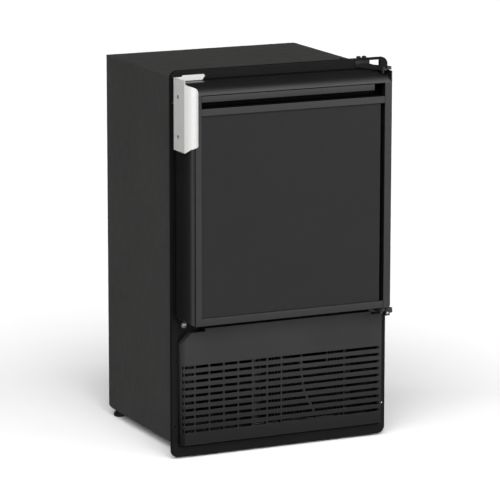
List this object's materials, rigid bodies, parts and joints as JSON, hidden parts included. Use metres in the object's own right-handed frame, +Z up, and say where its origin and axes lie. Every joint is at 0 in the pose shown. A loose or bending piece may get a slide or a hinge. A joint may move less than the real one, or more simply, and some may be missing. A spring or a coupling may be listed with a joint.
{
  "type": "ice maker",
  "caption": "Compact undercounter ice maker: black cabinet, flanged collar, framed door with a bright corner handle, and a louvred grille below.",
  "frame": {"origin": "On the floor under the middle of the machine's overall width and depth", "axes": "+X to the right seen from the front, +Y to the back, +Z up; the door faces -Y"},
  "size_m": [0.381, 0.375, 0.6255],
  "materials": {
    "painted_steel": "satin",
    "zinc_steel": "satin",
    "collar_plastic": "satin",
    "grille_plastic": "satin",
    "liner_plastic": "satin",
    "bin_plastic": "satin",
    "foam": "matte",
    "black_rail": "satin",
    "black_plastic": "satin",
    "panel_black": "matte",
    "gasket_rubber": "matte",
    "handle_aluminium": "satin",
    "screw_steel": "polished",
    "hinge_steel": "satin",
    "nylon": "satin",
    "mould_aluminium": "satin",
    "bare_steel": "satin",
    "copper": "satin",
    "compressor_black": "satin",
    "pump_iron": "matte",
    "fan_metal": "satin",
    "motor_steel": "satin",
    "soft_rubber": "matte",
    "clear_tube": "satin",
    "leg_plastic": "satin"
  },
  "bodies": {
    "cabinet": {"base_pan": "zinc_steel", "bottom_hinge_bracket": "hinge_steel", "bottom_hinge_pin": "hinge_steel", "cabinet_screws": "screw_steel", "cabinet_wrap": "painted_steel", "collar": "collar_plastic", "compressor_grommets": "soft_rubber", "compressor_pump": "pump_iron", "compressor_shell": "compressor_black", "condenser_fins": "compressor_black", "condenser_tube": "compressor_black", "cord_bush": "soft_rubber", "divider_shelf": "zinc_steel", "evaporator_coil": "copper", "evaporator_plate": "mould_aluminium", "fan_motor": "motor_steel", "fan_shroud": "zinc_steel", "fill_cup": "liner_plastic", "fill_tube": "clear_tube", "filter_drier": "copper", "gear_housing": "liner_plastic", "grille": "grille_plastic", "ice_bin": "bin_plastic", "ice_mould": "mould_aluminium", "inner_liner": "liner_plastic", "insulation": "foam", "motor_bracket": "zinc_steel", "mould_bracket": "zinc_steel", "mould_heater": "bare_steel", "rear_cover": "painted_steel", "rear_panel": "painted_steel", "refrigerant_lines": "copper", "stripper": "liner_plastic", "terminal_cover": "black_plastic", "top_hinge_pin": "hinge_steel", "top_hinge_plate": "hinge_steel", "valve_solenoid": "black_plastic", "water_valve": "nylon"},
    "door": {"door_bottom_rail": "black_rail", "door_bushes": "black_plastic", "door_end_cap": "black_rail", "door_gasket": "gasket_rubber", "door_grip_channel": "black_plastic", "door_handle": "handle_aluminium", "door_inner_pan": "liner_plastic", "door_insulation": "foam", "door_left_trim": "black_rail", "door_mid_rail": "black_rail", "door_panel": "panel_black", "door_pull_strip": "black_rail", "door_right_rail": "black_rail", "door_top_rail": "black_rail", "handle_screws": "screw_steel"},
    "fan": {"fan_blade": "fan_metal"},
    "ejector": {"ejector": "black_plastic"},
    "bail": {"shut_off_arm": "bare_steel"},
    "leg_front_left": {"leg_front_left": "leg_plastic"},
    "leg_front_right": {"leg_front_right": "leg_plastic"},
    "leg_rear_left": {"leg_rear_left": "leg_plastic"},
    "leg_rear_right": {"leg_rear_right": "leg_plastic"}
  },
  "joints": [
    {"name": "door_hinge", "type": "hinge", "parent": "cabinet", "child": "door", "pos_m": [0.165, -0.1685, 0.4], "axis": [0, 0, 1], "range_deg": [0, 115]},
    {"name": "fan_spin", "type": "hinge", "parent": "cabinet", "child": "fan", "pos_m": [0.06, -0.0695, 0.118], "axis": [0, 1, 0], "continuous": true},
    {"name": "ejector_turn", "type": "hinge", "parent": "cabinet", "child": "ejector", "pos_m": [0, 0.0675, 0.479], "axis": [-1, 0, 0], "continuous": true},
    {"name": "bail_lift", "type": "hinge", "parent": "cabinet", "child": "bail", "pos_m": [0, 0.0295, 0.455], "axis": [-1, 0, 0], "range_deg": [0, 45]},
    {"name": "leg_front_left_screw", "type": "hinge", "parent": "cabinet", "child": "leg_front_left", "pos_m": [-0.157, -0.1115, 0.015], "axis": [0, 0, 1], "range_deg": [0, 3600]},
    {"name": "leg_front_right_screw", "type": "hinge", "parent": "cabinet", "child": "leg_front_right", "pos_m": [0.157, -0.1115, 0.015], "axis": [0, 0, 1], "range_deg": [0, 3600]},
    {"name": "leg_rear_left_screw", "type": "hinge", "parent": "cabinet", "child": "leg_rear_left", "pos_m": [-0.157, 0.1565, 0.015], "axis": [0, 0, 1], "range_deg": [0, 3600]},
    {"name": "leg_rear_right_screw", "type": "hinge", "parent": "cabinet", "child": "leg_rear_right", "pos_m": [0.157, 0.1565, 0.015], "axis": [0, 0, 1], "range_deg": [0, 3600]}
  ]
}
